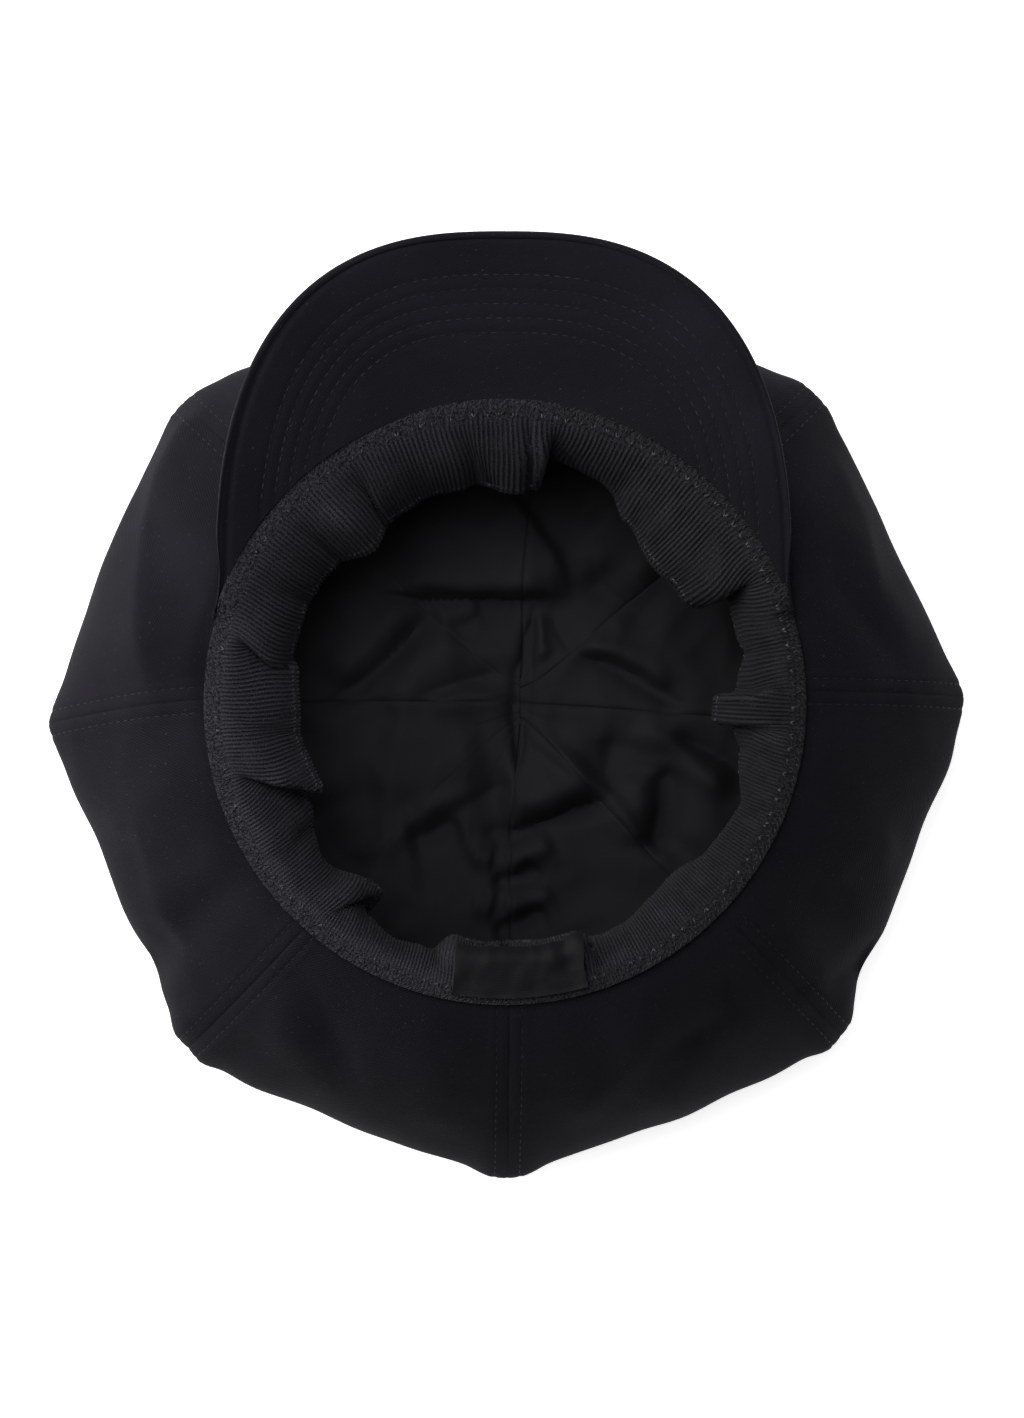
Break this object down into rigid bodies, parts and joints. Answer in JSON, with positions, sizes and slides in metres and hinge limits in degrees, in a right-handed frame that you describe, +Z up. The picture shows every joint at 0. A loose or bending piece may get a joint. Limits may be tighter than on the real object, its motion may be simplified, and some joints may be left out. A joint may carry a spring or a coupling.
{
  "type": "newsboy cap",
  "caption": "Soft multi-panel twill cap with a short stitched peak, a smooth lining, a ribbed sweatband and a bare label, lying upside down on its crown.",
  "frame": {"origin": "on the surface that the cap lies on, under the middle of its overall length and width", "axes": "+Z up out of the opening, +Y out over the peak, +X towards the left side of whoever wears it"},
  "size_m": [0.294, 0.2976, 0.0836],
  "materials": {
    "twill": "matt black cotton twill with a faint blue cast",
    "lining_cloth": "smooth black lining cloth with a low sheen",
    "band_tape": "ribbed elastic tape in charcoal black",
    "label_tape": "plain satin tape in charcoal black"
  },
  "bodies": {
    "root": {"crown_panel_right_front": "twill", "crown_panel_front_right": "twill", "crown_panel_front_left": "twill", "crown_panel_left_front": "twill", "crown_panel_left_back": "twill", "crown_panel_back_left": "twill", "crown_panel_back_right": "twill", "crown_panel_right_back": "twill", "lining_panel_right_front": "lining_cloth", "lining_panel_front_right": "lining_cloth", "lining_panel_front_left": "lining_cloth", "lining_panel_left_front": "lining_cloth", "lining_panel_left_back": "lining_cloth", "lining_panel_back_left": "lining_cloth", "lining_panel_back_right": "lining_cloth", "lining_panel_right_back": "lining_cloth", "sweatband": "band_tape", "label": "label_tape", "peak": "twill", "peak_under": "twill"}
  },
  "joints": []
}
